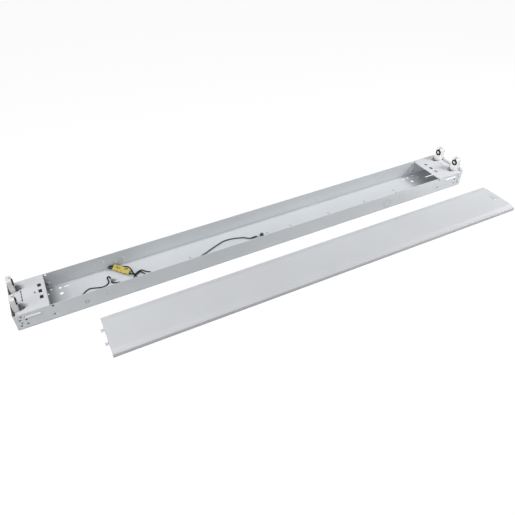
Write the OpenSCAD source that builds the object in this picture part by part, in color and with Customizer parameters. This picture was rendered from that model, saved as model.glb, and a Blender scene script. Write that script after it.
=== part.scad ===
// Two-lamp linear light fixture for four-foot tubes, lying on its back with its cover taken off.
// Origin: centre of the mounting holes in the back face. +X along the fixture, +Z out of the open side.
// A distance "from the end" is measured from the outer face of an end cap towards the middle.

/* [Channel] */
// Overall length over both end caps
fixture_l = 1232; // [900:1:1850]
// Outside width of the channel
channel_w = 108; // [104:0.5:130]
// Height of the channel's side walls
channel_h = 44.5; // [42:0.5:60]
// Thickness of the sheet steel
sheet_t = 0.8; // [0.6:0.05:1]
// Outside radius of the channel's long bends
channel_bend_r = 1.6; // [1.2:0.1:2.2]

/* [Channel holes] */
// Mounting holes' distance from the end
mount_hole_end = 105.5; // [100:0.5:130]
// Spacing across the channel of the larger mounting holes
mount_hole_pitch = 41; // [36:0.5:50]
// Diameter of the larger mounting holes
mount_hole_d = 9; // [6:0.1:10]
// Spacing across the channel of the smaller mounting holes
small_hole_pitch = 81; // [74:0.5:86]
// Diameter of the smaller mounting holes
small_hole_d = 6.8; // [4:0.1:8]
// Distance from the end to the middle of the short slots
short_slot_end = 120; // [118:0.5:150]
// Overall length of the short slots
short_slot_l = 13; // [8:0.5:15]
// Width of the short slots
short_slot_w = 4.4; // [2.5:0.1:6]
// Distance from the end to the middle of the long slots in floor and walls
long_slot_end = 39.6; // [38:0.2:42]
// Overall length of the long slots in floor and walls
long_slot_l = 35; // [28:0.5:36]
// Width of the long floor slots
floor_slot_w = 4.5; // [3:0.1:6]
// Knock-out diameter
knockout_d = 22.2; // [16:0.1:24]
// Width of the sheared gap round a knock-out
knockout_gap = 0.6; // [0.3:0.05:0.9]
// Distances from the end to the knock-out centres
knockout_ends = [207.5, 257]; // [150:0.5:300]
// Heights of the knock-out centres above the back face
knockout_heights = [26, 18]; // [14:0.5:30]
// Diameter of the small knock-out in each wall
small_knockout_d = 8.6; // [7:0.1:12]
// Distance from the end to the small knock-out
small_knockout_end = 154; // [140:1:180]
// Height of the small knock-out
small_knockout_z = 20; // [12:0.5:30]
// Diameter of the row of small holes along the floor
row_hole_d = 3.6; // [2.5:0.1:5]

/* [End caps] */
// Height of the cap above the channel walls
cap_rise = 7; // [4:0.5:12]
// Length of the side flanges inside the channel
cap_flange_l = 19; // [17:0.5:20]
// Gap that parts the cap from the channel's cut edge
cap_gap = 0.2; // [0.1:0.05:0.4]
// Diameter of the small holes in the cap's ears
ear_hole_d = 2.6; // [2:0.1:4]
// Distance of an ear hole from the side of the fixture
ear_hole_in = 8; // [6:0.5:11]

/* [Socket plates] */
// Distance from the end to the plate's inner edge
plate_l = 78.5; // [76:0.5:90]
// Distance from the end to the plate's outer edge
plate_start = 6.5; // [5:0.1:8]
// Depth of the turned-down inner lip
plate_lip = 6; // [4:0.5:10]
// Outside radius of the lip's bend
plate_bend_r = 2; // [1.2:0.1:3]
// Depth of the plate's side flanges inside the channel
plate_flange = 12.6; // [12:0.1:14]
// Distance from the end to the square holes
hook_hole_end = 66; // [64:0.5:70]
// Spacing of the three square holes across the plate
hook_pitch = 20; // [16:0.5:24]
// Square hole's length along the fixture
hook_hole_l = 8; // [7:0.1:10]
// Square hole's width across the fixture
hook_hole_w = 10.6; // [10.4:0.1:12]
// Distance from the end to the pilot hole
pilot_end = 54; // [48:0.5:58]
// Diameter of the pilot hole
pilot_d = 3.6; // [2.5:0.1:5]
// Width of the ramped pocket at a lampholder's front
pocket_w = 25; // [22:0.5:28]
// Depth of a pocket at the lampholder's front
pocket_depth = 8; // [4:0.5:10]
// Length of a pocket along the fixture
pocket_l = 21; // [17:0.5:24]
// Distance from the end to the drain hole in a pocket
pocket_hole_end = 26; // [23:0.5:28]
// Diameter of the drain hole in a pocket
pocket_hole_d = 3.6; // [2:0.1:4.5]
// Distance from the end to the dashed lance line
lance_end = 25.7; // [25:0.1:30]
// Length of one dash of the lance line
lance_dash = 6.6; // [4:0.2:7]

/* [Lampholders] */
// Distance of a lamp's axis from the side of the fixture
lamp_side = 22; // [21:0.5:24]
// Lamp axis above the deck of the socket plate
lamp_rise = 20.7; // [19:0.1:24]
// Width of a lampholder
holder_w = 22.5; // [22.3:0.1:24]
// Height of a lampholder above the lamp axis
holder_crown = 14; // [12:0.5:16]
// Radius of the lampholder's top corners
holder_corner_r = 5; // [3:0.5:8]
// Distance from the end to the lampholder's front face
holder_front = 15.5; // [15:0.1:17]
// Distance from the end to the lampholder's back
holder_back = 4.7; // [4:0.1:5.2]
// Thickness of the lampholder's back cover
back_t = 1.3; // [1:0.1:1.6]
// Depth of the lampholder's foot below the deck sheet
foot_h = 7; // [6:0.5:10]
// Width left at the groove that grips the deck sheet
neck_w = 18.6; // [17.5:0.1:19.5]
// Clearance of sheet edges round the lampholder
holder_clear = 0.2; // [0.1:0.05:0.4]
// Width of the lamp-pin entry slot
entry_w = 3.4; // [3:0.1:4]

/* [Rotors] */
// Outside radius of the rotor behind the front lip
rotor_r = 9.1; // [9:0.05:9.3]
// Outside radius of the black ring where it shows
ring_r = 8.2; // [7.5:0.1:8.6]
// Radius of the white core
core_r = 4; // [3.6:0.1:5.5]
// Running clearance round the rotor
rotor_clear = 0.3; // [0.25:0.05:0.3]
// Height of the ring in front of the lampholder's face
ring_proud = 1.8; // [0.5:0.1:2.5]
// Width of the rotor's pin slot
pin_slot_w = 3; // [2.6:0.1:3.2]
// Turn of the near left rotor, which lies locked while the others lie open
locked_turn = 90; // [0:5:90]

/* [Cover] */
// Overlap of the cover on each socket plate
cover_overlap = 13; // [12.5:0.5:16]
// Clearance between the cover's lips and the channel walls
cover_clear = 0.8; // [0.4:0.1:1.5]
// Height of the cover's lips
cover_lip = 9.4; // [7:0.1:12]
// Outside radius of the lip's bend
cover_bend_r = 1.4; // [1:0.1:2]
// Width of the flat border beside a lip
cover_border = 5; // [3:0.5:8]
// Width of the slope between border and raised panel
cover_slope = 9; // [4:0.5:12]
// Height of the raised panel above the border
cover_rise = 2.6; // [1.5:0.1:4]
// Width of a hook's cross bar
hook_bar_w = 9.6; // [8:0.1:10]
// Width of a hook's stem
hook_stem_w = 6; // [3:0.1:7]
// Length of the latch opening
latch_l = 13.4; // [12:0.2:16]
// Width of the latch opening
latch_w = 18; // [12:0.5:20]
// Distance from the cover's end to the latch opening
latch_end = 13; // [4:0.1:16]
// Length of the latch tongue
latch_tongue_l = 8; // [6:0.1:9]
// Angle by which the latch tongue is bent up
latch_angle = 32; // [20:1:45]
// Place of the cover's middle along the fixture, as it lies
cover_x = 102.5; // [0:0.5:200]
// Place of the cover's middle across the fixture, as it lies
cover_y = -160.5; // [-200:0.5:-120]

/* [Earth terminal] */
// Place of the earth screw
earth_pos = [2, -2.2]; // [-10:0.5:10]
// Diameter of the earth screw's washer face
earth_flange_d = 10.6; // [9:0.1:12]
// Width across the flats of the earth screw's head
earth_hex = 8; // [6:0.1:9]
// Height of the hexagonal head above its washer face
earth_hex_h = 3.4; // [2.5:0.1:5]
// Diameter of the earth screw's thread
earth_thread_d = 4.8; // [4:0.1:5]
// Diameter of the insulated crimp barrel
crimp_d = 4.2; // [3.8:0.1:4.4]
// Length of the insulated crimp barrel
crimp_l = 14; // [8:0.5:16]

/* [Leads] */
// Diameter of a lampholder lead
lead_d = 2.6; // [2:0.1:2.8]
// Diameter of a lead's copper strands
strand_d = 1.2; // [0.8:0.1:1.4]
// Diameter of the earth lead
earth_lead_d = 3; // [2.4:0.1:3.2]
// Width of the sleeve tag round the folded lead
tag_w = 15; // [11:0.5:16]
// Thickness of the sleeve tag
tag_t = 4; // [3.6:0.1:5]
// Tilt of the sleeve tag from flat
tag_tilt = 30; // [20:1:40]

/* [Hidden] */
$fn = 48;

// Reach of a cutter past the faces that it cuts
over = 1;
// Depth to which blocks of one solid lap into each other
lap = 1;
lamp_spacing = channel_w - 2 * lamp_side;
inner_w = channel_w - 2 * sheet_t;
deck_z = channel_h + sheet_t;
axis_z = deck_z + lamp_rise;
holder_top = axis_z + holder_crown;
foot_z = channel_h - foot_h;
channel_end = sheet_t + cap_gap;

// Small holes and slots in both walls by each end, as distance from the end, height and diameter
wall_pin_holes = [
    [14.8, 37.3, 3.8], [13, 19.2, 3.2], [23.7, 25.7, 3.8], [23.8, 12.9, 3.8], [83.5, 40.3, 4.4]
];
wall_slits = [[10.5, 27.9], [10, 11.5]];
wall_slit_size = [5.5, 2.2];
knockout_tab = 3;
small_knockout_tab = 1.6;
// Round dimple low in each wall, pressed inwards, as distance from the end and height
wall_dimple = [81.8, 14];
wall_dimple_d = 9.4;
wall_dimple_depth = 2.4;
tongue_z = channel_h - 10.5;
tongue_h = 3.2;
tongue_proud = 2;
tongue_clear = 0.8;
floor_pin_holes = [[85, 44, 4], [77, 31.3, 4]];
// Small holes along the floor, from the middle of the fixture
row_holes = [[-198, 0], [19.5, 0], [89, 0], [207.5, 0], [326, 0], [432, 7], [432, -4.6]];

// Lampholder's inside
chamber_side = 1;
chamber_front = 12.4;
chamber_neck_w = 16.4;
front_lip = 1.2;
bore_r = rotor_r + rotor_clear;
lip_r = ring_r + rotor_clear;
rotor_back = holder_back + back_t + 3;
core_flange_t = 1.4;
rotor_shoulder = holder_front - front_lip - rotor_clear;
pin_slot_foot = 7.9;
contact_t = 0.5;
contact_w = 4;
contact_mid = 9.5;
barrel_d = 3.2;
barrel_side = 6.5;
contact_low_y = barrel_side + 0.9;
contact_high_y = holder_w / 2 - chamber_side - contact_t;
contact_jog_z = axis_z - bore_r - 5;
contact_top_z = axis_z + 5;
contact_foot = 1;
chamber_clear = 1;

// Cover
cover_w = channel_w + 2 * (cover_clear + sheet_t);
cover_l = fixture_l - 2 * (plate_l - cover_overlap);
cover_top = cover_lip + cover_rise;
hook_drop = cover_rise + 2 * sheet_t + 1.4;
hook_stem_l = 3.2;
hook_bar_l = 3;
cover_arc_steps = 5;

// Earth terminal
terminal_t = 0.8;
terminal_ring_d = earth_flange_d - 0.6;
crimp_z = sheet_t + crimp_d / 2 + 0.1;
crimp_start = 15;
crimp_end = crimp_start + crimp_l;
terminal_neck_w = 4;

// Routes of the leads, each from its lampholder contact to its bare end, with x from the left end
near_line = -lamp_spacing / 2;
far_line = lamp_spacing / 2;
lead_far_a_route = [
    [contact_mid, far_line + barrel_side, foot_z], [contact_mid, far_line + barrel_side, 24],
    [13, 36.5, 10], [22, 31, 2.8], [60, 0, 2.2], [75, -8, 2.2], [94, -10, 2.2], [138, -10, 2.2],
    [147, -8.5, 2.2], [154, -4, 2.2], [160, 1, 2.2], [167, 3.6, 2.2],
    [176, 2, 2.2], [188, -2.5, 2.2], [199, -4.6, 2.2], [206, -2.6, 2.2], [211.4, 1, 2.2], [214.2, 6, 2.2],
    [214.2, 14, 2.2], [213.6, 20, 2.3], [214.9, 23.4, 2.4], [217.4, 24.2, 2.4], [219.8, 22, 2.3],
    [220.6, 18, 2.2]
];
lead_far_b_route = [
    [contact_mid, far_line - barrel_side, foot_z], [contact_mid, far_line - barrel_side, 24],
    [13, 23.5, 10], [22, 18, 2.8], [50, -7, 2.2], [66, -12.8, 2.2], [84, -14.4, 2.2],
    [226, -17.5, 2.2], [234, -17.6, 2.2], [239.5, -15, 2.2],
    [240.8, -10.5, 2.2], [237.5, -6.8, 2.2], [231, -4.9, 2.2], [224.5, -2.8, 2.2], [219.8, 0.2, 2.2]
];
lead_near_a_route = [
    [contact_mid, near_line + barrel_side, foot_z], [contact_mid, near_line + barrel_side, 24],
    [13, -26, 10], [22, -27.5, 2.8], [36, -28, 2.2],
    [250, -24, 2.2], [261, -21.5, 2.2], [268.5, -15, 2.6], [273, -7.5, 4.6], [276, -4.8, 6.4],
    [279.4, -1.3, 7.7], [284.6, 3.5, 6.6], [288.2, 6.2, 5.4], [291.4, 6.6, 3.9], [294.2, 4, 2.6],
    [297.3, -0.6, 2.2], [300.4, -6, 2.2]
];
// The sleeve tag's lift off the floor sheet, and how far inside its round edge the lead passes through
tag_lift = 2.45;
tag_bore_in = 1.5;
tag_bore_side = (tag_w - tag_t) / 2 - tag_bore_in;
tag_z = sheet_t + tag_lift + tag_t / 2 + tag_bore_in * sin(tag_tilt);
tag_from = [234.5, 43.8, tag_z];
tag_to = [264.8, 8.8, tag_z];
lead_near_b_route = [
    [contact_mid, near_line - barrel_side, foot_z], [contact_mid, near_line - barrel_side, 24],
    [13, -38.5, 10], [22, -38.5, 2.8], [36, -38, 2.2],
    [258, -31, 2.2], [270, -29.5, 2.2], [278, -24.5, 2.2], [281, -17, 2.2], [280, -8.5, 2.2],
    [277.4, -2.4, 2.2], [276.4, 2.9, 2.2], [275, 9.3, 2.5], [274.5, 16.6, 3.5],
    [273, 25.3, 5], [268.7, 33.6, 5.8], [261.1, 38.4, 5.8], [253, 42.4, 5.2], [245.9, 46.5, 4.9],
    [240.4, 49.6, 5.1], [235.8, 51.3, 6.6], [231.6, 51.4, 8.2], [227.8, 50.7, 9], [225.4, 48.4, 8.8],
    [226.4, 46, 8], [229.4, 45.5, 6.9], [232.6, 46, 6.1],
    tag_from, tag_to, [266.4, 7, 6],
    [270, 4.6, 5.8], [275.4, 2.6, 5.6], [278, 1.2, 5], [280.6, 0.8, 4], [283, 1.8, 3], [286, 4.4, 2.4],
    [289.6, 8.4, 2.2], [293, 11.2, 2.2], [296.8, 11, 2.2], [300.8, 6.6, 2.2], [306, 0.2, 2.2],
    [313.1, -4.2, 2.2]
];
earth_route = [
    [-27.2, -2.2, 3], [-31.5, -1.6, 2.8], [-36, 1.6, 2.6], [-41, 6.2, 2.5], [-48, 10.8, 2.4],
    [-60, 15, 2.4], [-71, 18, 2.4], [-82, 19.8, 2.4], [-93, 20, 2.4], [-103, 18.2, 2.4], [-116, 13.5, 2.4],
    [-133, 7, 2.4], [-151, -0.4, 2.4], [-168, -7, 2.4], [-186, -14.5, 2.4], [-204, -22, 2.4]
];
strand_routes = [
    [[220.6, 18, 2.2], [220.9, 15, 2.1], [220.8, 12.4, 1.9]],
    [[219.9, 0.2, 2.2], [222.4, 4.2, 2.2], [226, 8.8, 2], [229.6, 12, 2]],
    [[218.8, 1.4, 2.2], [220.6, 6.4, 2], [223.9, 12.4, 2]],
    [[221.2, -0.9, 2.2], [224.8, 2, 2], [229, 4.6, 2], [232.8, 6.8, 2]],
    [[300.4, -6, 2.2], [302, -8, 2.1]],
    [[313.1, -4.2, 2.2], [315.5, -5.6, 2.1]]
];
earth_strand_route = [[-204, -22, 2.4], [-210, -24.6, 2.2]];

function unit(v) = v / norm(v);
function heading(p, i) =
    i == 0 ? unit(p[1] - p[0]) :
    i == len(p) - 1 ? unit(p[i] - p[i - 1]) :
    unit(unit(p[i] - p[i - 1]) + unit(p[i + 1] - p[i]));
function carried(n, t) = unit(n - t * (n * t));
function side_vectors(p, i, n) =
    i == len(p) ? [] : let (m = carried(n, heading(p, i))) concat([m], side_vectors(p, i + 1, m));
function ring_points(c, t, n, r, sides) =
    [for (k = [0:sides - 1]) c + r * (cos(360 * k / sides) * n + sin(360 * k / sides) * cross(t, n))];

// A round lead swept along a route, one ring at each point
module lead(route, d, start_side = [1, 0.1, 0]) {
    sides = 8;
    rings = len(route);
    across = side_vectors(route, 0, start_side);
    points = [for (i = [0:rings - 1]) each ring_points(route[i], heading(route, i), across[i], d / 2, sides)];
    skin = [
        for (i = [0:rings - 2], k = [0:sides - 1])
            let (a = i * sides + k, b = i * sides + (k + 1) % sides)
            each [[a, b, b + sides], [a, b + sides, a + sides]]
    ];
    start_cap = [for (k = [1:sides - 2]) [0, k + 1, k]];
    last = (rings - 1) * sides;
    end_cap = [for (k = [1:sides - 2]) [last, last + k, last + k + 1]];
    polyhedron(points, [for (f = concat(skin, start_cap, end_cap)) [f[0], f[2], f[1]]]);
}

module black_lead(route) {
    color("black") lead(route, lead_d);
}

module green_lead() {
    color("green") lead(earth_route, earth_lead_d, [0, 0, 1]);
}

// Places children with x measured from the left or the right end of the fixture
module at_end(right) {
    if (right)
        mirror([1, 0, 0]) translate([-fixture_l / 2, 0, 0]) children();
    else
        translate([-fixture_l / 2, 0, 0]) children();
}

module at_both_ends() {
    at_end(false) children();
    at_end(true) children();
}

// Places children at the near or the far lamp line
module at_lamp(far) {
    translate([0, (far ? 1 : -1) * lamp_spacing / 2, 0]) children();
}

module at_both_lamps() {
    at_lamp(false) children();
    at_lamp(true) children();
}

// Round bar through both side walls
module wall_bar(from_end, z, d) {
    translate([from_end, 0, z]) rotate([90, 0, 0]) cylinder(d = d, h = channel_w + 2 * over, center = true);
}

// Round-ended slot cutter along X, standing on the floor sheet
module floor_slot(l, w) {
    translate([0, 0, -over]) linear_extrude(sheet_t + 2 * over) {
        square([l - w, w], center = true);
        for (s = [-1, 1])
            translate([s * (l - w) / 2, 0]) circle(d = w);
    }
}

module floor_hole(x, y, d) {
    translate([x, y, -over]) cylinder(d = d, h = sheet_t + 2 * over);
}

// Sheared ring round a knock-out, with two tabs that still hold the slug
module knockout_ring(from_end, z, d, tab) {
    translate([from_end, 0, z]) rotate([90, 0, 0]) difference() {
        cylinder(d = d, h = channel_w + 2 * over, center = true);
        cylinder(d = d - 2 * knockout_gap, h = channel_w + 4 * over, center = true);
        cube([tab, d + over, channel_w + 4 * over], center = true);
    }
}

// Balls of the dimples in both walls, whose depth is measured from the walls' outer faces
module wall_dimples(extra) {
    r = (wall_dimple_d * wall_dimple_d / 4 + wall_dimple_depth * wall_dimple_depth) / (2 * wall_dimple_depth);
    for (s = [-1, 1])
        translate([wall_dimple[0], s * (channel_w / 2 - wall_dimple_depth + r), wall_dimple[1]])
            sphere(r = r + extra);
}

// Slab just inside both walls, where the backs of the dimples show
module wall_skins() {
    reach = wall_dimple_depth + sheet_t;
    for (s = [-1, 1])
        translate([0, s * (channel_w - reach) / 2, channel_h / 2])
            cube([fixture_l, reach - sheet_t / 2, channel_h - 2 * channel_bend_r], center = true);
}

// Outline of a tray in the Y-Z plane with rounded lower corners, open at the top when cut by a smaller one
module tray_outline(w, h, r) {
    translate([-w / 2 + r, 0]) square([w - 2 * r, h]);
    translate([-w / 2, r]) square([w, h - r]);
    for (s = [-1, 1])
        translate([s * (w / 2 - r), r]) circle(r = r);
}

module along_x(l) {
    rotate([90, 0, 90]) linear_extrude(l) children();
}

// Holes shared by the wall and the cap's side flange behind it
module shared_wall_cuts() {
    for (h = wall_pin_holes)
        wall_bar(h[0], h[1], h[2]);
    for (s = wall_slits)
        translate([s[0], 0, s[1]])
            cube([wall_slit_size[0], channel_w + 2 * over, wall_slit_size[1]], center = true);
}

module channel() {
    channel_l = fixture_l - 2 * channel_end;
    color("gainsboro") difference() {
        union() {
            translate([-channel_l / 2, 0, 0]) along_x(channel_l) difference() {
                tray_outline(channel_w, channel_h, channel_bend_r);
                translate([0, sheet_t]) tray_outline(inner_w, channel_h, channel_bend_r - sheet_t);
            }
            intersection() {
                at_both_ends() wall_dimples(sheet_t);
                wall_skins();
            }
        }
        at_both_ends() {
            wall_dimples(0);
            shared_wall_cuts();
            for (i = [0:len(knockout_ends) - 1])
                knockout_ring(knockout_ends[i], knockout_heights[i], knockout_d, knockout_tab);
            knockout_ring(small_knockout_end, small_knockout_z, small_knockout_d, small_knockout_tab);
            translate([long_slot_end, 0, tongue_z])
                cube([long_slot_l, channel_w + 2 * over, tongue_h + 2 * tongue_clear], center = true);
            for (s = [-1, 1]) {
                floor_hole(mount_hole_end, s * mount_hole_pitch / 2, mount_hole_d);
                floor_hole(mount_hole_end, s * small_hole_pitch / 2, small_hole_d);
                translate([short_slot_end, s * small_hole_pitch / 2, 0])
                    floor_slot(short_slot_l, short_slot_w);
                translate([long_slot_end, s * mount_hole_pitch / 2, 0])
                    floor_slot(long_slot_l, floor_slot_w);
                for (h = floor_pin_holes)
                    floor_hole(h[0], s * h[1], h[2]);
            }
        }
        for (h = row_holes)
            floor_hole(h[0], h[1], row_hole_d);
        floor_hole(earth_pos[0], earth_pos[1], earth_thread_d);
    }
}

module end_cap() {
    cap_top = channel_h + cap_rise;
    flange_bottom = 3;
    flange_top = channel_h - 0.5;
    foot_side = 15;
    foot_w = channel_w - 2 * foot_side;
    foot_l = 14;
    color("gainsboro") difference() {
        union() {
            along_x(sheet_t) tray_outline(channel_w, cap_top, channel_bend_r);
            for (s = [-1, 1])
                translate([0, s * (inner_w / 2 - sheet_t / 2) - sheet_t / 2, flange_bottom])
                    cube([cap_flange_l, sheet_t, flange_top - flange_bottom]);
            translate([0, -foot_w / 2, sheet_t]) cube([foot_l, foot_w, sheet_t]);
        }
        shared_wall_cuts();
        for (s = [-1, 1])
            translate([-over, s * (channel_w / 2 - ear_hole_in), channel_h + cap_rise / 2])
                rotate([0, 90, 0]) cylinder(d = ear_hole_d, h = sheet_t + 2 * over);
    }
}

// Sloping round bar whose underside is the ramp of a pocket
module pocket_bar(extra) {
    slope = atan(pocket_depth / pocket_l);
    drop = pocket_depth * cos(slope);
    r = (pocket_w * pocket_w / 4 + drop * drop) / (2 * drop);
    translate([holder_front + rotor_clear, 0, deck_z - pocket_depth + r / cos(slope)])
        rotate([0, 90 - slope, 0]) cylinder(r = r + extra, h = 6 * pocket_l, center = true, $fn = 96);
}

// Space past the lampholder's front, from under the pocket up to a height above the deck's top face
module pocket_zone(above) {
    bottom = deck_z - pocket_depth - 2 * sheet_t;
    translate([holder_front + rotor_clear, -pocket_w, bottom])
        cube([pocket_l + 2 * sheet_t, 2 * pocket_w, deck_z + above - bottom]);
}

module plate_lip_bend() {
    lip_w = inner_w - 2 * holder_clear;
    flat_end = plate_l - plate_bend_r;
    translate([0, lip_w / 2, 0]) rotate([90, 0, 0]) linear_extrude(lip_w) {
        intersection() {
            translate([flat_end, deck_z - plate_bend_r]) difference() {
                circle(r = plate_bend_r);
                circle(r = plate_bend_r - sheet_t);
            }
            translate([flat_end, deck_z - plate_bend_r]) square([plate_bend_r, plate_bend_r]);
        }
        translate([plate_l - sheet_t, deck_z - plate_lip]) square([sheet_t, plate_lip - plate_bend_r]);
        translate([flat_end - lap, channel_h]) square([lap, sheet_t]);
    }
}

// Flange inside the wall, with the snap tongue that shows through the wall's long slot
module plate_side() {
    flange_l = long_slot_l + 2;
    tongue_l = long_slot_l - 2 * tongue_clear;
    tongue_nose = 0.4;
    tongue_edge = sheet_t + tongue_proud;
    translate([long_slot_end - flange_l / 2, inner_w / 2 - sheet_t, channel_h - plate_flange])
        cube([flange_l, sheet_t, plate_flange + sheet_t / 2]);
    translate([long_slot_end - tongue_l / 2, inner_w / 2, tongue_z]) rotate([90, 0, 90])
        linear_extrude(tongue_l)
            polygon([
                [-sheet_t / 2, tongue_h / 2], [0, tongue_h / 2], [tongue_edge, -tongue_h / 2 + tongue_nose],
                [tongue_edge, -tongue_h / 2], [-sheet_t / 2, -tongue_h / 2]
            ]);
}

module socket_plate() {
    lance_gap = 2.4;
    lance_w = 2;
    lance_shift = 2;
    lance_dashes = 4;
    color("whitesmoke") difference() {
        union() {
            translate([plate_start, -channel_w / 2, channel_h])
                cube([plate_l - plate_bend_r - plate_start, channel_w, sheet_t]);
            plate_lip_bend();
            for (s = [0, 1])
                mirror([0, s, 0]) plate_side();
            at_both_lamps() intersection() {
                pocket_bar(sheet_t);
                pocket_zone(0);
            }
        }
        at_both_lamps() {
            intersection() {
                pocket_bar(0);
                pocket_zone(over);
            }
            translate([0, -neck_w / 2 - holder_clear, channel_h - over])
                cube([holder_front + rotor_clear, neck_w + 2 * holder_clear, sheet_t + 2 * over]);
            translate([pocket_hole_end, 0, deck_z - 2 * pocket_depth])
                cylinder(d = pocket_hole_d, h = 2 * pocket_depth);
        }
        for (i = [-1:1])
            translate([hook_hole_end, i * hook_pitch, deck_z])
                cube([hook_hole_l, hook_hole_w, 4 * sheet_t], center = true);
        translate([pilot_end, 0, channel_h - over]) cylinder(d = pilot_d, h = sheet_t + 2 * over);
        lance_from = lance_shift - (lance_dashes - 1) / 2 * (lance_dash + lance_gap);
        for (i = [0:lance_dashes - 1])
            translate([lance_end, lance_from + i * (lance_dash + lance_gap), deck_z])
                cube([lance_w, lance_dash, 4 * sheet_t], center = true);
    }
}

// Front view of a lampholder above the deck
module holder_outline(inset) {
    r = holder_corner_r;
    w = holder_w - 2 * inset;
    h = holder_top - deck_z - 2 * inset;
    translate([-w / 2, deck_z + inset]) square([w, h - r]);
    translate([-w / 2 + r, deck_z + inset]) square([w - 2 * r, h]);
    for (s = [-1, 1])
        translate([s * (w / 2 - r), deck_z + inset + h - r]) circle(r = r);
}

module lampholder_body() {
    body_back = holder_back + back_t;
    body_l = holder_front - body_back;
    chamber_w = holder_w - 2 * chamber_side;
    color("white") difference() {
        union() {
            translate([body_back, 0, 0]) along_x(body_l) holder_outline(0);
            translate([body_back, -neck_w / 2, channel_h - lap]) cube([body_l, neck_w, sheet_t + 2 * lap]);
            translate([body_back, -holder_w / 2, foot_z]) cube([body_l, holder_w, foot_h]);
        }
        translate([body_back - over, 0, axis_z]) rotate([0, 90, 0])
            cylinder(r = bore_r, h = body_l - front_lip + over);
        translate([body_back, 0, axis_z]) rotate([0, 90, 0]) cylinder(r = lip_r, h = body_l + over);
        translate([body_back - over, -chamber_w / 2, contact_jog_z - chamber_clear])
            cube([
                chamber_front - body_back + over, chamber_w,
                contact_top_z - contact_jog_z + 2 * chamber_clear
            ]);
        translate([body_back - over, -chamber_neck_w / 2, foot_z - over])
            cube([chamber_front - body_back + over, chamber_neck_w, axis_z - foot_z]);
        translate([chamber_front - 2, -entry_w / 2, axis_z]) cube([body_l, entry_w, holder_crown + over]);
    }
}

module holder_back_cover() {
    post_r = 2;
    inset = 0.4;
    color("white") union() {
        translate([holder_back, 0, 0]) along_x(back_t) holder_outline(inset);
        translate([holder_back, 0, axis_z]) rotate([0, 90, 0])
            cylinder(r = post_r, h = rotor_back - rotor_clear - holder_back);
    }
}

// Spring contact that runs from the lead's barrel up to the side of the rotor
module contact() {
    jog = 4;
    translate([contact_mid - contact_w / 2, 0, 0]) along_x(contact_w) polygon([
        [contact_low_y, foot_z + contact_foot], [contact_low_y + contact_t, foot_z + contact_foot],
        [contact_low_y + contact_t, contact_jog_z], [contact_high_y + contact_t, contact_jog_z + jog],
        [contact_high_y + contact_t, contact_top_z], [contact_high_y, contact_top_z],
        [contact_high_y, contact_jog_z + jog], [contact_low_y, contact_jog_z]
    ]);
    translate([contact_mid, barrel_side, foot_z]) cylinder(d = barrel_d, h = foot_h - contact_foot);
}

module holder_contacts() {
    color("goldenrod") for (s = [0, 1])
        mirror([0, s, 0]) contact();
}

module rotor_slot(foot) {
    translate([rotor_back + core_flange_t, -pin_slot_w / 2, axis_z - foot])
        cube([holder_front, pin_slot_w, foot + rotor_r + over]);
}

// Turns a rotor, drawn with its slot up, about the lamp axis
module turned(angle) {
    translate([0, 0, axis_z]) rotate([angle, 0, 0]) translate([0, 0, -axis_z]) children();
}

module rotor_ring() {
    ring_back = rotor_back + core_flange_t;
    color("black") difference() {
        translate([ring_back, 0, axis_z]) rotate([0, 90, 0]) {
            cylinder(r = rotor_r, h = rotor_shoulder - ring_back);
            cylinder(r = ring_r, h = holder_front + ring_proud - ring_back);
        }
        translate([ring_back - over, 0, axis_z]) rotate([0, 90, 0])
            cylinder(r = core_r + rotor_clear / 2, h = holder_front);
        rotor_slot(pin_slot_foot);
    }
}

module rotor_core() {
    core_inset = 0.4;
    core_front = holder_front + ring_proud - core_inset;
    color("white") difference() {
        translate([rotor_back, 0, axis_z]) rotate([0, 90, 0]) {
            cylinder(r = rotor_r - 0.2, h = core_flange_t);
            cylinder(r = core_r, h = core_front - rotor_back);
        }
        rotor_slot(rotor_r + over);
    }
}

module locked_rotor_ring() {
    at_end(false) at_lamp(false) turned(locked_turn) rotor_ring();
}

module locked_rotor_core() {
    at_end(false) at_lamp(false) turned(locked_turn) rotor_core();
}

// Cover's section, outer face up, shrunk by the sheet thickness for its inner face
function arc_points(cx, cy, r, from, to) =
    [for (k = [0:cover_arc_steps])
        let (a = from + (to - from) * k / cover_arc_steps)
        [cx + r * cos(a), cy + r * sin(a)]];
function cover_half(inset) =
    let (
        half = cover_w / 2 - inset,
        r = cover_bend_r - inset,
        top = cover_lip - inset,
        lean = atan(cover_rise / cover_slope),
        shift = inset * tan(lean / 2),
        foot_y = cover_w / 2 - cover_border + shift
    )
    concat(
        [[half, inset > 0 ? -over : 0]],
        arc_points(half - r, top - r, r, 0, 90),
        [[foot_y, top], [foot_y - cover_slope, top + cover_rise]]
    );
function mirrored(points) = [for (i = [len(points) - 1:-1:0]) [-points[i][0], points[i][1]]];

module cover_section(inset) {
    polygon(concat(cover_half(inset), mirrored(cover_half(inset))));
}

module cover_hook() {
    step = hook_stem_l;
    translate([-sheet_t, -hook_stem_w / 2, cover_top - hook_drop]) cube([sheet_t, hook_stem_w, hook_drop]);
    translate([-sheet_t, -hook_stem_w / 2, cover_top - sheet_t]) cube([2 * sheet_t, hook_stem_w, sheet_t]);
    translate([-sheet_t - step, -hook_stem_w / 2, cover_top - hook_drop])
        cube([step + sheet_t, hook_stem_w, sheet_t]);
    translate([-sheet_t - step - hook_bar_l, -hook_bar_w / 2, cover_top - hook_drop])
        cube([hook_bar_l, hook_bar_w, sheet_t]);
}

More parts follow.
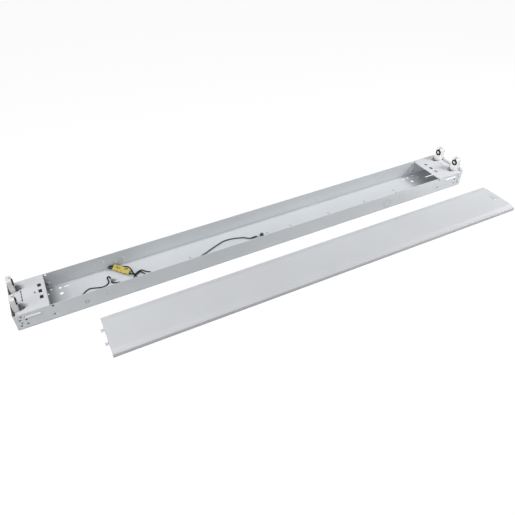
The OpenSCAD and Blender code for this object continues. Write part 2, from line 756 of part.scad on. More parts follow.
module cover() {
    tongue_side = 0.6;
    color("whitesmoke") translate([cover_x - cover_l / 2, cover_y, 0]) {
        difference() {
            along_x(cover_l) difference() {
                cover_section(0);
                cover_section(sheet_t);
            }
            translate([cover_l - latch_end - latch_l, -latch_w / 2, cover_top - over - sheet_t])
                cube([latch_l, latch_w, sheet_t + 2 * over]);
        }
        for (s = [-1, 1])
            translate([0, s * hook_pitch, 0]) cover_hook();
        translate([cover_l - latch_end - latch_l - sheet_t / 2, 0, cover_top - sheet_t])
            rotate([0, -latch_angle, 0]) translate([0, -latch_w / 2 + tongue_side, 0])
                cube([latch_tongue_l, latch_w - 2 * tongue_side, sheet_t]);
    }
}

module earth_screw() {
    flange_t = 1.2;
    color("darkgreen") translate([earth_pos[0], earth_pos[1], 0]) {
        translate([0, 0, sheet_t + terminal_t]) cylinder(d = earth_flange_d, h = flange_t);
        translate([0, 0, sheet_t + terminal_t + flange_t])
            cylinder(d = earth_hex / cos(30), h = earth_hex_h, $fn = 6);
        translate([0, 0, sheet_t / 4]) cylinder(d = earth_thread_d - 0.3, h = sheet_t + terminal_t);
    }
}

module earth_terminal() {
    barrel_r = crimp_d / 2 - 0.6;
    color("silver") translate([earth_pos[0], earth_pos[1], 0]) difference() {
        union() {
            translate([0, 0, sheet_t]) cylinder(d = terminal_ring_d, h = terminal_t);
            translate([-crimp_start + 3, -terminal_neck_w / 2, sheet_t])
                cube([crimp_start - 3, terminal_neck_w, terminal_t]);
            translate([-crimp_start, 0, crimp_z]) rotate([0, 90, 0]) cylinder(r = barrel_r, h = 4);
        }
        translate([0, 0, -over]) cylinder(d = earth_thread_d, h = sheet_t + terminal_t + 2 * over);
    }
}

module earth_crimp() {
    color("black") translate([earth_pos[0] - crimp_end, earth_pos[1], crimp_z])
        rotate([0, 90, 0]) cylinder(d = crimp_d, h = crimp_l);
}

// Bare copper strands at the leads' free ends
module lead_ends() {
    up = [0, 0, 1];
    color("peru") {
        at_end(false) for (r = strand_routes)
            lead(r, strand_d, up);
        lead(earth_strand_route, strand_d, up);
    }
}

// Flat sleeve along the lead between two points of its route
module sleeve_tag() {
    axis = tag_to - tag_from;
    tag_l = norm(axis);
    turn = atan2(axis[1], axis[0]);
    bore = lead_d + 0.4;
    color("gold") translate(tag_from) rotate([tag_tilt, 0, turn]) difference() {
        hull()
            for (s = [-1, 1])
                translate([0, tag_bore_side + s * (tag_w - tag_t) / 2, 0]) rotate([0, 90, 0])
                    cylinder(d = tag_t, h = tag_l, $fn = 24);
        translate([-over, 0, 0]) rotate([0, 90, 0]) cylinder(d = bore, h = tag_l + 2 * over);
    }
}

channel();
at_end(false) end_cap();  // end_cap_left
at_end(true) end_cap();  // end_cap_right
at_end(false) socket_plate();  // socket_plate_left
at_end(true) socket_plate();  // socket_plate_right
at_end(false) at_lamp(false) lampholder_body();  // lampholder_left_near
at_end(false) at_lamp(true) lampholder_body();  // lampholder_left_far
at_end(true) at_lamp(false) lampholder_body();  // lampholder_right_near
at_end(true) at_lamp(true) lampholder_body();  // lampholder_right_far
at_end(false) at_both_lamps() holder_back_cover();  // holder_backs_left
at_end(true) at_both_lamps() holder_back_cover();  // holder_backs_right
at_end(false) at_both_lamps() holder_contacts();  // contacts_left
at_end(true) at_both_lamps() holder_contacts();  // contacts_right
locked_rotor_ring();  // rotor_ring_left_near
at_end(false) at_lamp(true) rotor_ring();  // rotor_ring_left_far
at_end(true) at_lamp(false) rotor_ring();  // rotor_ring_right_near
at_end(true) at_lamp(true) rotor_ring();  // rotor_ring_right_far
locked_rotor_core();  // rotor_core_left_near
at_end(false) at_lamp(true) rotor_core();  // rotor_core_left_far
at_end(true) at_lamp(false) rotor_core();  // rotor_core_right_near
at_end(true) at_lamp(true) rotor_core();  // rotor_core_right_far
at_end(false) black_lead(lead_far_a_route);  // lead_far_a
at_end(false) black_lead(lead_far_b_route);  // lead_far_b
at_end(false) black_lead(lead_near_a_route);  // lead_near_a
at_end(false) black_lead(lead_near_b_route);  // lead_near_b
lead_ends();
at_end(false) sleeve_tag();
green_lead();  // earth_lead
earth_crimp();
earth_terminal();
earth_screw();
cover();
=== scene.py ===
# Looks, light and camera for the two-lamp linear light fixture. Lengths are in metres.
import math
from collections import namedtuple

import bpy
from mathutils import Matrix, Vector


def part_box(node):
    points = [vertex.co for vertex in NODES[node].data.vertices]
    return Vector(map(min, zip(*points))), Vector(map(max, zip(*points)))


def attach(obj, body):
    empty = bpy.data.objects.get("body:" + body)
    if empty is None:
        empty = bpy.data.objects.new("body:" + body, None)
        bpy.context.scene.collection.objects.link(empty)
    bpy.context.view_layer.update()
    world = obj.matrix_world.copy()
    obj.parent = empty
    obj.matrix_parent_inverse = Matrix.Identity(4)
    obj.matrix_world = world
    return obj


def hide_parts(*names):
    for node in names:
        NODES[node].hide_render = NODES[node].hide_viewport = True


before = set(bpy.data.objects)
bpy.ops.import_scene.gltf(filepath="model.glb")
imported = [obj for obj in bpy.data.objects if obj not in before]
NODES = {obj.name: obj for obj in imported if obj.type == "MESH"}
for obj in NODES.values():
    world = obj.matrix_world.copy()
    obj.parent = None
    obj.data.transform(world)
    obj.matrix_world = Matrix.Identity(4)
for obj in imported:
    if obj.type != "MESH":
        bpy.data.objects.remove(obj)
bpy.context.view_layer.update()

MM = 0.001
LEFT_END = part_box("end_cap_left")[0].x
HALF_L = -LEFT_END / MM


def add_object(name, data):
    thing = bpy.data.objects.new(name, data)
    bpy.context.scene.collection.objects.link(thing)
    return thing


# Camera, fitted to the photograph's long edges and corners. The frame is 515 pixels square.
FRAME_PX = 515.0
CAMERA_PLACE = Vector((-0.4638, -0.8938, 0.8129))
CAMERA_YAW = math.radians(22.9)
CAMERA_PITCH = math.radians(40.86)
CAMERA_ROLL = math.radians(2.74)
FOCAL_PX = 494.9
OPTICAL_CENTRE_PX = (231.0, 252.8)
SENSOR = 36.0


def make_camera():
    forward = Vector((
        math.sin(CAMERA_YAW) * math.cos(CAMERA_PITCH),
        math.cos(CAMERA_YAW) * math.cos(CAMERA_PITCH),
        -math.sin(CAMERA_PITCH),
    ))
    level = Vector((math.cos(CAMERA_YAW), -math.sin(CAMERA_YAW), 0.0))
    down = forward.cross(level)
    right = level * math.cos(CAMERA_ROLL) + down * math.sin(CAMERA_ROLL)
    down = down * math.cos(CAMERA_ROLL) - level * math.sin(CAMERA_ROLL)
    data = bpy.data.cameras.new("camera")
    data.sensor_width = SENSOR
    data.lens = FOCAL_PX / FRAME_PX * SENSOR
    data.shift_x = (FRAME_PX / 2 - OPTICAL_CENTRE_PX[0]) / FRAME_PX
    data.shift_y = (OPTICAL_CENTRE_PX[1] - FRAME_PX / 2) / FRAME_PX
    camera = add_object("camera", data)
    axes = Matrix((right, -down, -forward)).transposed()
    camera.matrix_world = Matrix.Translation(CAMERA_PLACE) @ axes.to_4x4()
    bpy.context.scene.camera = camera


make_camera()

# Routes of the free leads, in millimetres as in the part's source, with x from the left end
LEAD_D = 2.6
EARTH_D = 3.0
CONTACT_MID = 9.5
FOOT_Z = 37.5
NEAR_LINE = -32.0
FAR_LINE = 32.0
BARREL_SIDE = 6.5
TAG_FROM = (234.5, 43.8, 6.0)
TAG_TO = (264.8, 8.8, 6.0)
LEAD_FAR_A = [
    (CONTACT_MID, FAR_LINE + BARREL_SIDE, FOOT_Z), (CONTACT_MID, FAR_LINE + BARREL_SIDE, 24),
    (13, 36.5, 10), (22, 31, 2.8), (60, 0, 2.2), (75, -8, 2.2), (94, -10, 2.2), (138, -10, 2.2),
    (147, -8.5, 2.2), (154, -4, 2.2), (160, 1, 2.2), (167, 3.6, 2.2),
    (176, 2, 2.2), (188, -2.5, 2.2), (199, -4.6, 2.2), (206, -2.6, 2.2), (211.4, 1, 2.2), (214.2, 6, 2.2),
    (214.2, 14, 2.2), (213.6, 20, 2.3), (214.9, 23.4, 2.4), (217.4, 24.2, 2.4), (219.8, 22, 2.3),
    (220.6, 18, 2.2),
]
LEAD_FAR_B = [
    (CONTACT_MID, FAR_LINE - BARREL_SIDE, FOOT_Z), (CONTACT_MID, FAR_LINE - BARREL_SIDE, 24),
    (13, 23.5, 10), (22, 18, 2.8), (50, -7, 2.2), (66, -12.8, 2.2), (84, -14.4, 2.2),
    (226, -17.5, 2.2), (234, -17.6, 2.2), (239.5, -15, 2.2),
    (240.8, -10.5, 2.2), (237.5, -6.8, 2.2), (231, -4.9, 2.2), (224.5, -2.8, 2.2), (219.8, 0.2, 2.2),
]
LEAD_NEAR_A = [
    (CONTACT_MID, NEAR_LINE + BARREL_SIDE, FOOT_Z), (CONTACT_MID, NEAR_LINE + BARREL_SIDE, 24),
    (13, -26, 10), (22, -27.5, 2.8), (36, -28, 2.2),
    (250, -24, 2.2), (261, -21.5, 2.2), (268.5, -15, 2.6), (273, -7.5, 4.6), (276, -4.8, 6.4),
    (279.4, -1.3, 7.7), (284.6, 3.5, 6.6), (288.2, 6.2, 5.4), (291.4, 6.6, 3.9), (294.2, 4, 2.6),
    (297.3, -0.6, 2.2), (300.4, -6, 2.2),
]
LEAD_NEAR_B = [
    (CONTACT_MID, NEAR_LINE - BARREL_SIDE, FOOT_Z), (CONTACT_MID, NEAR_LINE - BARREL_SIDE, 24),
    (13, -38.5, 10), (22, -38.5, 2.8), (36, -38, 2.2),
    (258, -31, 2.2), (270, -29.5, 2.2), (278, -24.5, 2.2), (281, -17, 2.2), (280, -8.5, 2.2),
    (277.4, -2.4, 2.2), (276.4, 2.9, 2.2), (275, 9.3, 2.5), (274.5, 16.6, 3.5),
    (273, 25.3, 5), (268.7, 33.6, 5.8), (261.1, 38.4, 5.8), (253, 42.4, 5.2), (245.9, 46.5, 4.9),
    (240.4, 49.6, 5.1), (235.8, 51.3, 6.6), (231.6, 51.4, 8.2), (227.8, 50.7, 9), (225.4, 48.4, 8.8),
    (226.4, 46, 8), (229.4, 45.5, 6.9), (232.6, 46, 6.1),
    TAG_FROM, TAG_TO, (266.4, 7, 6),
    (270, 4.6, 5.8), (275.4, 2.6, 5.6), (278, 1.2, 5), (280.6, 0.8, 4), (283, 1.8, 3), (286, 4.4, 2.4),
    (289.6, 8.4, 2.2), (293, 11.2, 2.2), (296.8, 11, 2.2), (300.8, 6.6, 2.2), (306, 0.2, 2.2),
    (313.1, -4.2, 2.2),
]
EARTH_LEAD = [
    (-27.2, -2.2, 3), (-31.5, -1.6, 2.8), (-36, 1.6, 2.6), (-41, 6.2, 2.5), (-48, 10.8, 2.4),
    (-60, 15, 2.4), (-71, 18, 2.4), (-82, 19.8, 2.4), (-93, 20, 2.4), (-103, 18.2, 2.4), (-116, 13.5, 2.4),
    (-133, 7, 2.4), (-151, -0.4, 2.4), (-168, -7, 2.4), (-186, -14.5, 2.4), (-204, -22, 2.4),
]
STRANDS = [
    [(220.6, 18, 2.2), (220.9, 15, 2.1), (220.8, 12.4, 1.9)],
    [(219.9, 0.2, 2.2), (222.4, 4.2, 2.2), (226, 8.8, 2), (229.6, 12, 2)],
    [(218.8, 1.4, 2.2), (220.6, 6.4, 2), (223.9, 12.4, 2)],
    [(221.2, -0.9, 2.2), (224.8, 2, 2), (229, 4.6, 2), (232.8, 6.8, 2)],
    [(300.4, -6, 2.2), (302, -8, 2.1)],
    [(313.1, -4.2, 2.2), (315.5, -5.6, 2.1)],
]
EARTH_STRAND = [(-204, -22, 2.4), (-210, -24.6, 2.2)]

# Bare ends: the bundle's and one strand's thickness and the length of a full twist, in millimetres, the
# number of strands, and the share by which the bundle widens towards its tip
STRAND_D = 1.2
STRAND_FINE = 0.5
TWIST_LENGTH = 9.0
STRAND_COUNT = 7
FRAY = 1.2

# Steps of a wire's mesh, round it and along each span
ROUND_STEPS = 5
SPAN_STEPS = 8


def from_left(route):
    return [Vector((LEFT_END + x * MM, y * MM, z * MM)) for x, y, z in route]


def from_middle(route):
    return [Vector((x * MM, y * MM, z * MM)) for x, y, z in route]


def spline_piece(name, routes, diameter, material, body="housing"):
    """A round wire along each route, as one curve object whose handles follow the route's own chords."""
    curve = bpy.data.curves.new(name, "CURVE")
    curve.dimensions = "3D"
    curve.bevel_depth = diameter * MM / 2
    curve.bevel_resolution = ROUND_STEPS
    curve.use_fill_caps = True
    curve.resolution_u = SPAN_STEPS
    for points in routes:
        spline = curve.splines.new("BEZIER")
        spline.bezier_points.add(len(points) - 1)
        for i, p in enumerate(points):
            before = points[max(i - 1, 0)]
            after = points[min(i + 1, len(points) - 1)]
            along = (after - before).normalized()
            knot = spline.bezier_points[i]
            knot.handle_left_type = knot.handle_right_type = "FREE"
            knot.co = p
            knot.handle_left = p - along * (p - before).length / 3
            knot.handle_right = p + along * (after - p).length / 3
    curve.materials.append(material)
    piece = add_object(name, curve)
    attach(piece, body)
    return piece


# Surfaces: samples of the bevel and occlusion nodes, strength of the bumps, share of a mark that has its
# full strength, and the palest colour that paint takes
SHAPE_SAMPLES = 4
BUMP_STRENGTH = 0.6
MARK_CORE = 0.6
PALEST_PAINT = 0.93

# Soft border of a shade, and where the plates' tongues stand outside the walls, in millimetres. Between
# these two places the tongues' painted highlight rises to full.
SHADE_SOFT = 0.1
OUTSIDE_FROM = 53.6
OUTSIDE_FULL = 54.0


def new_material(name):
    material = bpy.data.materials.new(name)
    material.use_nodes = True
    tree = material.node_tree
    return material, tree, tree.nodes["Principled BSDF"]


def add_node(tree, kind, **values):
    """Adds a node. Each value goes to the input of that name, or else to the setting of that name."""
    node = tree.nodes.new(kind)
    for key, value in values.items():
        if key in node.inputs:
            node.inputs[key].default_value = value
        else:
            setattr(node, key, value)
    return node


def calc(tree, operation, *values):
    """Result of a calculation on one or two values, each an output socket or a plain number."""
    node = add_node(tree, "ShaderNodeMath", operation=operation)
    for socket, value in zip(node.inputs, values):
        if isinstance(value, bpy.types.NodeSocket):
            tree.links.new(value, socket)
        else:
            socket.default_value = value
    return node.outputs[0]


def times(tree, first, second):
    """Product of a colour and a colour or factor."""
    node = add_node(tree, "ShaderNodeVectorMath", operation="MULTIPLY")
    tree.links.new(first, node.inputs[0])
    tree.links.new(second, node.inputs[1])
    return node.outputs[0]


def stepped(tree, source, start, end, low, high):
    """Value that runs from low to high while the source runs from start to end."""
    node = tree.nodes.new("ShaderNodeMapRange")
    values = {"From Min": start, "From Max": end, "To Min": low, "To Max": high}
    for key, value in values.items():
        node.inputs[key].default_value = value
    tree.links.new(source, node.inputs["Value"])
    return node.outputs[0]


def ramp(tree, source, low, high, start=0.3, end=0.7):
    """Colour that runs from low to high while the source runs from start to end."""
    node = tree.nodes.new("ShaderNodeValToRGB")
    node.color_ramp.elements[0].position = start
    node.color_ramp.elements[1].position = end
    node.color_ramp.elements[0].color = (*low, 1.0)
    node.color_ramp.elements[1].color = (*high, 1.0)
    tree.links.new(source, node.inputs["Fac"])
    return node.outputs[0]


def split_place(tree, place):
    parts = tree.nodes.new("ShaderNodeSeparateXYZ")
    tree.links.new(place, parts.inputs[0])
    return parts.outputs["X"], parts.outputs["Y"], parts.outputs["Z"]


def surface_noise(tree, scale, detail=4.0):
    """Noise in the object's own metres, so that its grain has a real size."""
    place = add_node(tree, "ShaderNodeTexCoord")
    noise = add_node(tree, "ShaderNodeTexNoise", Scale=scale, Detail=detail)
    tree.links.new(place.outputs["Object"], noise.inputs["Vector"])
    return noise.outputs[0]


def rounded_normal(tree, radius):
    bevel = add_node(tree, "ShaderNodeBevel", Radius=radius)
    bevel.samples = SHAPE_SAMPLES
    return bevel.outputs["Normal"]


def recess_shade(tree, reach, darkest):
    """Grey that falls from 1 to the darkest value in gaps and corners narrower than the reach."""
    gap = add_node(tree, "ShaderNodeAmbientOcclusion", Distance=reach, samples=SHAPE_SAMPLES)
    return ramp(tree, gap.outputs[0], (darkest,) * 3, (1.0,) * 3, start=0.15, end=0.75)


def painted_edge_highlight(tree, radius, brightest):
    """Painted highlight: a factor that rises from 1 on flat faces to the brightest value along sharp edges.
    """
    shape = tree.nodes.new("ShaderNodeNewGeometry")
    facing = add_node(tree, "ShaderNodeVectorMath", operation="DOT_PRODUCT")
    tree.links.new(shape.outputs["Normal"], facing.inputs[0])
    tree.links.new(rounded_normal(tree, radius), facing.inputs[1])
    return stepped(tree, facing.outputs["Value"], 0.75, 0.98, brightest, 1.0)


def own_and_folded_place(tree):
    """The object's own coordinates, and the same with both ends folded onto the +X end."""
    place = add_node(tree, "ShaderNodeTexCoord").outputs["Object"]
    x, y, z = split_place(tree, place)
    joined = tree.nodes.new("ShaderNodeCombineXYZ")
    tree.links.new(calc(tree, "ABSOLUTE", x), joined.inputs["X"])
    tree.links.new(y, joined.inputs["Y"])
    tree.links.new(z, joined.inputs["Z"])
    return place, joined.outputs[0]


def mark_factor(tree, place, mark):
    """Factor along a ring round the mark's centre, or over a spot if its diameter is 0, and 1 elsewhere."""
    reach = add_node(tree, "ShaderNodeVectorMath", operation="DISTANCE")
    reach.inputs[1].default_value = tuple(v * MM for v in mark.centre)
    tree.links.new(place, reach.inputs[0])
    aside = calc(tree, "SUBTRACT", reach.outputs["Value"], mark.diameter / 2 * MM)
    core = mark.half_width * MARK_CORE
    return stepped(tree, calc(tree, "ABSOLUTE", aside), core * MM, mark.half_width * MM, mark.strength, 1.0)


def shade_factor(tree, place, shade):
    """Factor that falls to the darkest value past full_x and full_z, within the half width."""
    x, y, z = split_place(tree, place)
    edge = shade.half_width + SHADE_SOFT
    along = stepped(tree, x, shade.from_x * MM, shade.full_x * MM, 0.0, 1.0 - shade.darkest)
    below = stepped(tree, z, shade.from_z * MM, shade.full_z * MM, 0.0, 1.0)
    across = stepped(tree, calc(tree, "ABSOLUTE", y), shade.half_width * MM, edge * MM, 1.0, 0.0)
    amount = calc(tree, "MULTIPLY", calc(tree, "MULTIPLY", along, below), across)
    return calc(tree, "SUBTRACT", 1.0, amount)


def tinted(colour, factor):
    return tuple(min(1.0, c * factor) for c in colour)


def toned(tree, colour, darker, paler, scale):
    """The colour, wandering between a darker and a paler tint of itself."""
    return ramp(tree, surface_noise(tree, scale), tinted(colour, darker), tinted(colour, paler))


def roughen(tree, shader, rough, less, more, scale):
    """Roughness that wanders from rough - less to rough + more."""
    gloss = ramp(tree, surface_noise(tree, scale), (rough - less,) * 3, (rough + more,) * 3)
    tree.links.new(gloss, shader.inputs["Roughness"])


def finish_surface(tree, shader, grain, depth, edge=0.0):
    """Bumps the surface with the grain, over edges softened by a small radius."""
    bump = add_node(tree, "ShaderNodeBump", Strength=BUMP_STRENGTH, Distance=depth)
    tree.links.new(grain, bump.inputs["Height"])
    if edge:
        tree.links.new(rounded_normal(tree, edge), bump.inputs["Normal"])
    tree.links.new(bump.outputs["Normal"], shader.inputs["Normal"])


def painted_steel(
    name, colour, rough=0.42, edge_width=0.0009, edge_strength=1.28, reach=0.014, darkest=0.3,
    marks=(), shades=(), outside=1.0,
):
    """Stoved enamel over sheet steel, with a faint orange peel and slow changes of tone, painted shade in
    its gaps and corners, and a painted highlight along its sharp edges.
    """
    material, tree, shader = new_material(name)
    own, folded = own_and_folded_place(tree)
    shaded = toned(tree, colour, darker=0.975, paler=1.015, scale=9.0)
    # Painted shade in gaps and corners, and a painted highlight along sharp edges
    shaded = times(tree, shaded, recess_shade(tree, reach, darkest))
    shaded = times(tree, shaded, painted_edge_highlight(tree, edge_width, edge_strength))
    for mark in marks:
        shaded = times(tree, shaded, mark_factor(tree, folded if mark.both_ends else own, mark))
    for shade in shades:
        shaded = times(tree, shaded, shade_factor(tree, folded if shade.both_ends else own, shade))
    # Painted highlight: past the walls, on the plates' tongues, the colour grows paler by the outside
    # factor
    if outside > 1.0:
        aside = calc(tree, "ABSOLUTE", split_place(tree, folded)[1])
        paler = stepped(tree, aside, OUTSIDE_FROM * MM, OUTSIDE_FULL * MM, 1.0, outside)
        shaded = times(tree, shaded, paler)
    held = add_node(tree, "ShaderNodeVectorMath", operation="MINIMUM")
    held.inputs[1].default_value = (PALEST_PAINT,) * 3
    tree.links.new(shaded, held.inputs[0])
    tree.links.new(held.outputs[0], shader.inputs["Base Color"])
    roughen(tree, shader, rough, less=0.05, more=0.06, scale=40.0)
    finish_surface(tree, shader, surface_noise(tree, scale=700.0, detail=2.0), depth=0.00003, edge=0.0005)
    return material


def moulded_plastic(
    name, colour, rough, grain_scale=1500.0, depth=0.00001, edge=0.0004, subsurface=0.0,
    specular=0.5, rim=1.0,
):
    """Smooth or fine-grained plastic. With a rim factor, a painted highlight pales its sharp edges and
    painted shade darkens its gaps.
    """
    material, tree, shader = new_material(name)
    mix = toned(tree, colour, darker=0.96, paler=1.03, scale=60.0)
    if rim > 1.0:
        # Painted highlight along sharp edges, and painted shade in narrow gaps
        mix = times(tree, mix, painted_edge_highlight(tree, 0.0011, rim))
        mix = times(tree, mix, recess_shade(tree, reach=0.004, darkest=0.25))
    tree.links.new(mix, shader.inputs["Base Color"])
    shader.inputs["Specular IOR Level"].default_value = specular
    roughen(tree, shader, rough, less=0.04, more=0.06, scale=200.0)
    if subsurface:
        shader.inputs["Subsurface Weight"].default_value = subsurface
        shader.inputs["Subsurface Radius"].default_value = (0.002, 0.002, 0.002)
    finish_surface(tree, shader, surface_noise(tree, grain_scale, detail=3.0), depth, edge)
    return material


def bare_metal(name, colour, rough):
    material, tree, shader = new_material(name)
    mix = toned(tree, colour, darker=0.85, paler=1.1, scale=300.0)
    tree.links.new(mix, shader.inputs["Base Color"])
    roughen(tree, shader, rough, less=0.06, more=0.1, scale=500.0)
    shader.inputs["Metallic"].default_value = 1.0
    finish_surface(tree, shader, surface_noise(tree, scale=2500.0), depth=0.00001, edge=0.0002)
    return material


def crumpled_film(name, colour):
    """Soft yellow film with creases, and dirt in patches."""
    material, tree, shader = new_material(name)
    place = add_node(tree, "ShaderNodeTexCoord")
    creases = add_node(tree, "ShaderNodeTexVoronoi", Scale=160.0)
    creases.feature = "DISTANCE_TO_EDGE"
    tree.links.new(place.outputs["Object"], creases.inputs["Vector"])
    dirt = surface_noise(tree, scale=130.0)
    mix = ramp(tree, dirt, tinted(colour, 0.35), colour, start=0.36, end=0.5)
    tree.links.new(mix, shader.inputs["Base Color"])
    shader.inputs["Roughness"].default_value = 0.45
    finish_surface(tree, shader, creases.outputs[0], depth=0.0006, edge=0.0005)
    return material


# Marks and shades in the paint, in millimetres. The folded ones lie at both ends of the fixture, and are
# placed at the +X end. A mark is the pale shear line of a knock-out, or painted shade: the dark ring
# in a knock-out's gap or the dark rim round a small hole. A shade is a painted shadow, the deep shadow
# under a plate or in its pockets.
Mark = namedtuple("Mark", "both_ends centre diameter half_width strength")
Shade = namedtuple("Shade", "both_ends from_x full_x darkest from_z full_z half_width")

# Sheet that the marks lie on: the walls' outer half, the floor's top and the plates' top
WALL = 53.8
FLOOR_TOP = 0.8
DECK = 45.3
KNOCKOUT_D = 22.2
NEAR_KNOCKOUTS = ((207.5, 26.0), (257.0, 18.0))
# Pale shear lines round three knock-outs at the left end, and painted shade: a dark ring in the gap of the
# small knock-out and of the near knock-out at the right end
KNOCKOUT_MARKS = tuple(
    Mark(False, (end - HALF_L, -WALL, z), KNOCKOUT_D, 1.2, 1.22) for end, z in NEAR_KNOCKOUTS
) + (
    Mark(False, (257.0 - HALF_L, WALL, 18.0), KNOCKOUT_D, 1.2, 1.25),
    Mark(False, (154.0 - HALF_L, -WALL, 20.0), 8.2, 1.0, 0.5),
    Mark(False, (HALF_L - 257.0, -WALL, 18.0), KNOCKOUT_D, 1.0, 0.75),
)
# Painted shade: a dark rim round each small hole in the near wall at both ends, so that the hole reads dark
WALL_HOLE_MARKS = tuple(
    Mark(True, (HALF_L - end, -WALL, z), 0.0, width, 0.3)
    for end, z, width in (
        (14.8, 37.3, 3.0), (13.0, 19.2, 2.7), (23.7, 25.7, 3.0), (23.8, 12.9, 3.0), (83.5, 40.3, 3.4),
        (10.5, 27.9, 3.0), (10.0, 11.5, 3.0),
    )
)
# Painted shade: a dark rim round each small hole in the floor, so that the hole reads dark
FLOOR_HOLE_MARKS = tuple(
    Mark(False, (x, y, FLOOR_TOP), 0.0, 3.2, 0.12)
    for x, y in ((-198, 0), (19.5, 0), (89, 0), (207.5, 0), (326, 0), (432, 7), (432, -4.6))
)
# Painted shade on the left plate: dark spots at its pilot hole and its drain hole, and round its four
# lanced dashes
PLATE_MARKS = (
    Mark(False, (54.0 - HALF_L, 0.0, DECK), 0.0, 2.9, 0.3),
    Mark(False, (26.0 - HALF_L, NEAR_LINE, 41.2), 0.0, 3.2, 0.2),
) + tuple(
    Mark(False, (25.7 - HALF_L, 2.0 + 9.0 * dash + part, DECK), 0.0, 2.1, 0.45)
    for dash in (-1.5, -0.5, 0.5, 1.5)
    for part in (-2.0, 0.0, 2.0)
)
FLOOR_SHADES = (
    Shade(True, from_x=488.0, full_x=538.0, darkest=0.5, from_z=0.3, full_z=0.5, half_width=52.0),
    Shade(False, from_x=-534.0, full_x=-548.0, darkest=0.5, from_z=0.3, full_z=0.5, half_width=53.4),
)
POCKET_SHADES = (
    Shade(True, from_x=560.0, full_x=566.0, darkest=0.5, from_z=45.1, full_z=41.5, half_width=53.0),
)

STEEL_WHITE = (0.74, 0.765, 0.79)
CHANNEL = painted_steel(
    "channel_enamel", STEEL_WHITE, marks=KNOCKOUT_MARKS + WALL_HOLE_MARKS + FLOOR_HOLE_MARKS,
    shades=FLOOR_SHADES,
)
CAPS = painted_steel("cap_enamel", STEEL_WHITE, reach=0.006, darkest=0.6)
PLATES = painted_steel(
    "plate_enamel", (0.735, 0.745, 0.78), edge_width=0.0014, edge_strength=1.32, reach=0.028,
    marks=PLATE_MARKS, shades=POCKET_SHADES, outside=1.2,
)
COVER = painted_steel("cover_enamel", (0.68, 0.695, 0.72), edge_strength=1.14)
HOLDER = moulded_plastic("holder_plastic", (0.8, 0.8, 0.79), rough=0.3, subsurface=0.1, rim=1.16)
RING = moulded_plastic("ring_plastic", (0.003, 0.003, 0.004), rough=0.6, specular=0.08)
CORE = moulded_plastic("core_plastic", (0.9, 0.9, 0.9), rough=0.3)
BRASS = bare_metal("contact_brass", (0.72, 0.52, 0.25), rough=0.3)
COPPER = bare_metal("strand_copper", (0.13, 0.11, 0.07), rough=0.55)
TIN = bare_metal("terminal_tin", (0.62, 0.62, 0.6), rough=0.3)
PVC_GRAIN = {"grain_scale": 900.0, "depth": 0.00004, "edge": 0.0}
PVC_BLACK = moulded_plastic("lead_pvc", (0.004, 0.004, 0.005), rough=0.4, specular=0.12, **PVC_GRAIN)
PVC_GREEN = moulded_plastic("earth_pvc", (0.003, 0.078, 0.078), rough=0.3, **PVC_GRAIN)
CRIMP = moulded_plastic("crimp_sleeve", (0.006, 0.01, 0.022), rough=0.4)
TAG = crumpled_film("tag_film", (0.62, 0.5, 0.1))
SCREW = moulded_plastic(
    "screw_lacquer", (0.008, 0.05, 0.025), rough=0.3, grain_scale=800.0, depth=0.00002, edge=0.0003,
)

MATERIAL_OF = {
    "channel": CHANNEL, "end_cap": CAPS, "socket_plate": PLATES, "cover": COVER,
    "lampholder": HOLDER, "holder_backs": HOLDER, "contacts": BRASS,
    "rotor_ring": RING, "rotor_core": CORE, "sleeve_tag": TAG,
    "earth_crimp": CRIMP, "earth_terminal": TIN, "earth_screw": SCREW,
    "lead_ends": COPPER, "lead": PVC_BLACK, "earth_lead": PVC_GREEN,
}


def dress_nodes():
    for name, node in NODES.items():
        start = max((key for key in MATERIAL_OF if name.startswith(key)), key=len)
        node.data.materials.clear()
        node.data.materials.append(MATERIAL_OF[start])


def make_leads():
    leads = {
        "lead_far_a": LEAD_FAR_A, "lead_far_b": LEAD_FAR_B,
        "lead_near_a": LEAD_NEAR_A, "lead_near_b": LEAD_NEAR_B,
    }
    for name, route in leads.items():
        points = from_left(route)
        piece = spline_piece("wire_" + name, [points], LEAD_D, PVC_BLACK)
        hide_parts(name)
    points = from_middle(EARTH_LEAD)
    piece = spline_piece("wire_earth", [points], EARTH_D, PVC_GREEN)
    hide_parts("earth_lead")


def make_strands():
    """Seven strands twisted together at each bare end, which fray towards their tips."""
    routes = []
    for route in [from_left(r) for r in STRANDS] + [from_middle(EARTH_STRAND)]:
        whole = sum((b - a).length for a, b in zip(route, route[1:]))
        for k in range(STRAND_COUNT):
            ring = 0.0 if k == 0 else (STRAND_D - STRAND_FINE) / 2 * MM
            gone = 0.0
            strand = []
            for i, p in enumerate(route):
                ahead = (route[min(i + 1, len(route) - 1)] - route[max(i - 1, 0)]).normalized()
                side = ahead.cross(Vector((0, 0, 1))).normalized()
                up = side.cross(ahead)
                if i:
                    gone += (p - route[i - 1]).length
                angle = 2 * math.pi * (k / (STRAND_COUNT - 1) + gone / (TWIST_LENGTH * MM))
                spread = ring * (1 + FRAY * gone / whole)
                strand.append(p + (side * math.cos(angle) + up * math.sin(angle)) * spread)
            routes.append(strand)
    piece = spline_piece("wire_strands", routes, STRAND_FINE, COPPER)
    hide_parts("lead_ends")


# Background. The world lights the object with its tint and shows as white. The floor bounces light as
# pale paper does, and shows as a glow under a dark paper that still takes the object's shadow.
WORLD_TINT = (0.97, 0.985, 1.0, 1.0)
WORLD_STRENGTH = 0.2
WHITE = (1.0, 1.0, 1.0, 1.0)
FLOOR_BOUNCE = 0.7
FLOOR_SHOWN = 0.12
FLOOR_GLOW = 0.93
FLOOR_HALF = 12.0
FLOOR_LEVEL = -0.0003


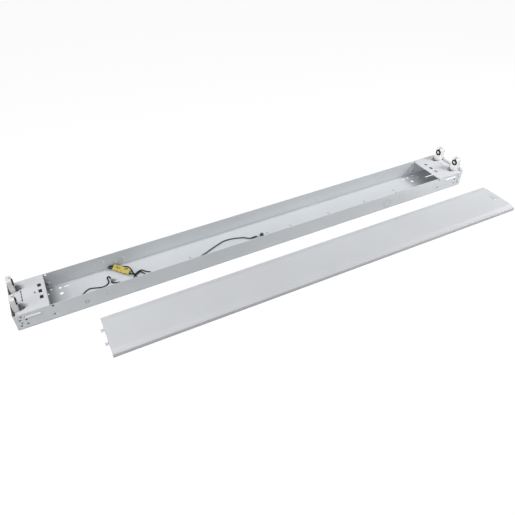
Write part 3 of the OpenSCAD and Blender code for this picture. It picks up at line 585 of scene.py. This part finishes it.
def make_world():
    world = bpy.data.worlds.new("studio")
    bpy.context.scene.world = world
    world.use_nodes = True
    tree = world.node_tree
    tree.nodes.clear()
    lit = add_node(tree, "ShaderNodeBackground", Color=WORLD_TINT, Strength=WORLD_STRENGTH)
    seen = add_node(tree, "ShaderNodeBackground", Color=WHITE, Strength=1.0)
    mix = tree.nodes.new("ShaderNodeMixShader")
    out = tree.nodes.new("ShaderNodeOutputWorld")
    tree.links.new(seen_by_eye(tree), mix.inputs[0])
    tree.links.new(lit.outputs[0], mix.inputs[1])
    tree.links.new(seen.outputs[0], mix.inputs[2])
    tree.links.new(mix.outputs[0], out.inputs[0])


def seen_by_eye(tree):
    """1 for camera, glossy and transmission rays, and 0 for the light that falls on the object."""
    path = tree.nodes.new("ShaderNodeLightPath")
    seen = calc(tree, "MAXIMUM", path.outputs["Is Camera Ray"], path.outputs["Is Glossy Ray"])
    return calc(tree, "MAXIMUM", seen, path.outputs["Is Transmission Ray"])


def make_floor():
    material = bpy.data.materials.new("floor_paper")
    material.use_nodes = True
    tree = material.node_tree
    tree.nodes.clear()
    bounce = add_node(tree, "ShaderNodeBsdfDiffuse", Color=(FLOOR_BOUNCE,) * 3 + (1.0,))
    shown = add_node(tree, "ShaderNodeBsdfDiffuse", Color=(FLOOR_SHOWN,) * 3 + (1.0,))
    glow = add_node(tree, "ShaderNodeEmission", Strength=FLOOR_GLOW)
    both = tree.nodes.new("ShaderNodeAddShader")
    mix = tree.nodes.new("ShaderNodeMixShader")
    out = tree.nodes.new("ShaderNodeOutputMaterial")
    tree.links.new(shown.outputs[0], both.inputs[0])
    tree.links.new(glow.outputs[0], both.inputs[1])
    tree.links.new(seen_by_eye(tree), mix.inputs[0])
    tree.links.new(bounce.outputs[0], mix.inputs[1])
    tree.links.new(both.outputs[0], mix.inputs[2])
    tree.links.new(mix.outputs[0], out.inputs["Surface"])
    mesh = bpy.data.meshes.new("floor")
    corners = [
        (x * FLOOR_HALF, y * FLOOR_HALF, FLOOR_LEVEL) for x, y in ((-1, -1), (1, -1), (1, 1), (-1, 1))
    ]
    mesh.from_pydata(corners, [], [(0, 1, 2, 3)])
    mesh.materials.append(material)
    add_object("floor", mesh)


def place_lamp(name, data, place, target):
    lamp = add_object(name, data)
    lamp.location = place
    lamp.rotation_euler = (Vector(target) - Vector(place)).to_track_quat("-Z", "Y").to_euler()


def area_lamp(name, place, target, size, power):
    data = bpy.data.lights.new(name, "AREA")
    data.shape = "RECTANGLE"
    data.size, data.size_y = size
    data.energy = power
    place_lamp(name, data, place, target)


def spot_lamp(name, place, target, radius, cone, power):
    data = bpy.data.lights.new(name, "SPOT")
    data.energy = power
    data.shadow_soft_size = radius
    data.spot_size = math.radians(cone)
    data.spot_blend = 1.0
    place_lamp(name, data, place, target)


def make_lamps():
    """A key lamp for each end, a broad fill from the left, a low lamp in front of the right lampholders,
    a spot on the middle and a soft lamp overhead."""
    area_lamp("left_key", (-0.82, -0.25, 1.06), target=(-0.5, 0.0, 0.03), size=(0.4, 0.4), power=4.9)
    area_lamp("left_fill", (-3.0, -0.5, 1.0), target=(-0.1, 0.0, 0.03), size=(2.2, 1.6), power=34.0)
    area_lamp("right_key", (1.216, -0.42, 0.705), target=(0.56, 0.0, 0.03), size=(0.35, 0.35), power=6.9)
    spot_lamp("right_front", (0.0, -0.3, 0.22), target=(0.62, 0.0, 0.08), radius=0.05, cone=24.0, power=8.0)
    spot_lamp("middle", (0.22, -0.8, 1.2), target=(0.22, 0.0, 0.03), radius=0.2, cone=36.0, power=7.0)
    area_lamp("overhead", (-0.2, 0.1, 1.9), target=(-0.2, 0.0, 0.0), size=(1.4, 0.8), power=5.6)


bpy.context.scene.view_settings.view_transform = "Standard"
dress_nodes()
make_leads()
make_strands()
make_world()
make_floor()
make_lamps()
